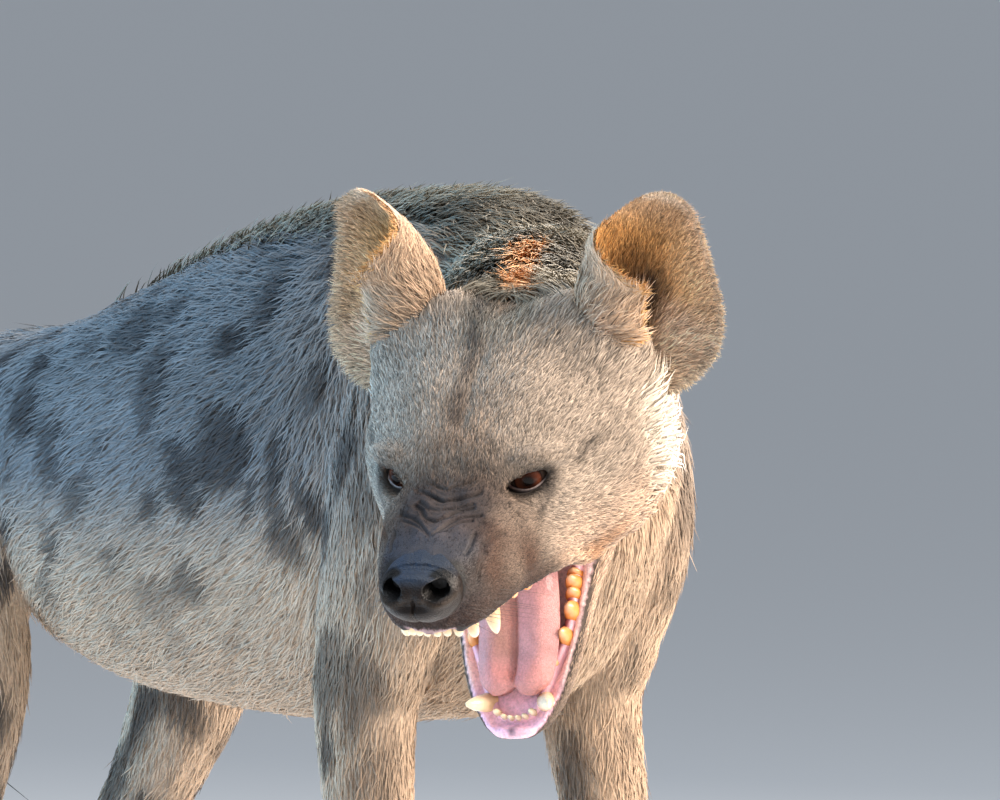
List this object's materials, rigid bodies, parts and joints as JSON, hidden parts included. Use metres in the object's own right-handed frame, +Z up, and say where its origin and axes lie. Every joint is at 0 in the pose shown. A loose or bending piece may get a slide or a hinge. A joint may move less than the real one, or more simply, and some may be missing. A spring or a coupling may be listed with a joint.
{
  "type": "spotted hyena figure",
  "caption": "Life-size standing spotted hyena, head low and turned to its right, jaws wide open, with a crest, round ears and a brush tail.",
  "frame": {"origin": "middle of the bounding box's foot, on the floor between the four paws", "axes": "+Z up, the animal's body faces -Y, its left side is +X"},
  "size_m": [0.5088, 1.1096, 0.8314],
  "materials": {
    "coat": "short dense fur, grey-buff with dark brown spots",
    "dark_coat": "dark brown short fur",
    "crest": "coarse upright hair",
    "nose": "damp pebbled black skin",
    "mouth": "wet pink flesh",
    "teeth": "glazed ivory, stained brown at the cheek teeth",
    "eye": "glossy brown eye"
  },
  "bodies": {
    "root": {"lower_teeth": "teeth", "tongue": "mouth", "lower_jaw": "coat", "nose": "nose", "eye_left": "eye", "eye_right": "eye", "ear_left": "coat", "ear_right": "coat", "upper_teeth": "teeth", "head": "coat", "upper_foreleg_left": "coat", "lower_foreleg_left": "coat", "forepaw_left": "dark_coat", "upper_foreleg_right": "coat", "lower_foreleg_right": "coat", "forepaw_right": "dark_coat", "upper_hindleg_left": "coat", "lower_hindleg_left": "coat", "hindpaw_left": "dark_coat", "upper_hindleg_right": "coat", "lower_hindleg_right": "coat", "hindpaw_right": "dark_coat", "neck": "crest", "torso": "coat", "tail": "dark_coat"}
  },
  "joints": []
}
